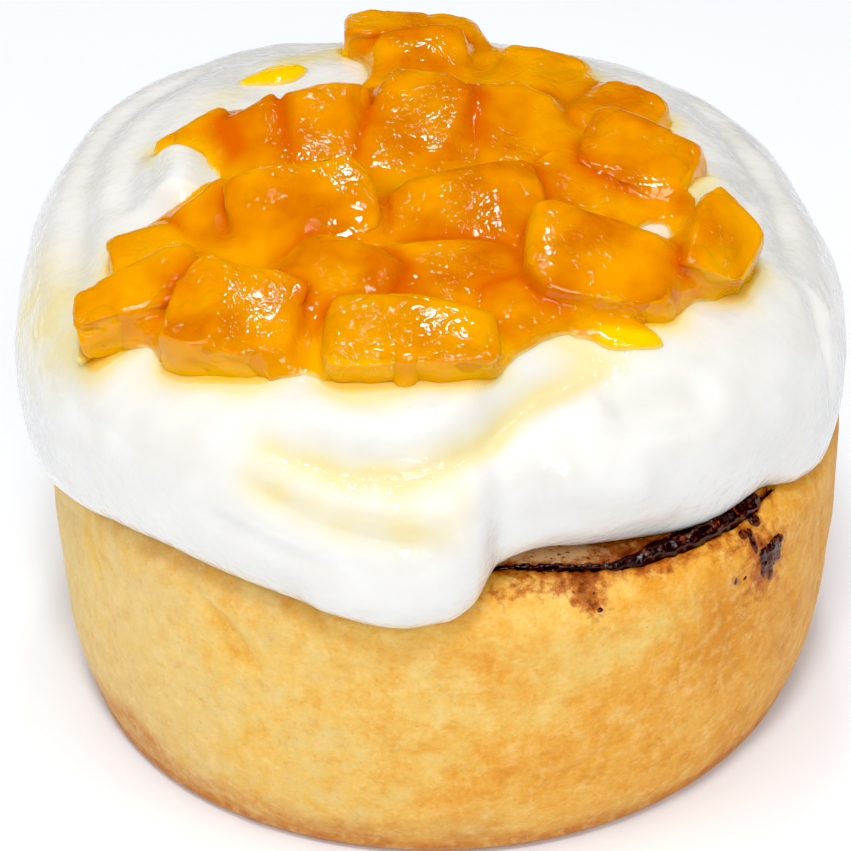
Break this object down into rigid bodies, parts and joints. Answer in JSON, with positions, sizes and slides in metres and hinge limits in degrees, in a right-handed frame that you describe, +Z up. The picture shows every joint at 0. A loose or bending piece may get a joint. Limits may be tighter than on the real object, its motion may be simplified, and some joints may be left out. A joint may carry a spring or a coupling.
{
  "type": "cinnamon roll with whipped cream and diced fruit",
  "caption": "Round cinnamon roll under a thick cap of whipped cream, topped with glazed diced orange fruit; a filling line shows at the rim.",
  "frame": {"origin": "middle of the bun's flat underside", "axes": "+Z up; -Y is the front that the picture shows, +X is the picture's right"},
  "size_m": [0.1041, 0.1061, 0.0743],
  "materials": {
    "baked_dough": "soft baked crumb, matte, pale gold",
    "cinnamon_paste": "wet dark paste",
    "whipped_cream": "soft satin white",
    "glazed_fruit": "glossy clear glaze over orange fruit"
  },
  "bodies": {
    "root": {"dough": "baked_dough", "cinnamon_filling": "cinnamon_paste", "cream": "whipped_cream", "fruit_piece_01": "glazed_fruit", "fruit_piece_02": "glazed_fruit", "fruit_piece_03": "glazed_fruit", "fruit_piece_04": "glazed_fruit", "fruit_piece_05": "glazed_fruit", "fruit_piece_06": "glazed_fruit", "fruit_piece_07": "glazed_fruit", "fruit_piece_08": "glazed_fruit", "fruit_piece_09": "glazed_fruit", "fruit_piece_10": "glazed_fruit", "fruit_piece_11": "glazed_fruit", "fruit_piece_12": "glazed_fruit", "fruit_piece_13": "glazed_fruit", "fruit_piece_14": "glazed_fruit", "fruit_piece_15": "glazed_fruit", "fruit_piece_16": "glazed_fruit", "fruit_piece_17": "glazed_fruit", "fruit_piece_18": "glazed_fruit", "fruit_piece_19": "glazed_fruit", "fruit_piece_20": "glazed_fruit", "fruit_piece_21": "glazed_fruit", "fruit_piece_22": "glazed_fruit", "fruit_piece_23": "glazed_fruit"}
  },
  "joints": []
}
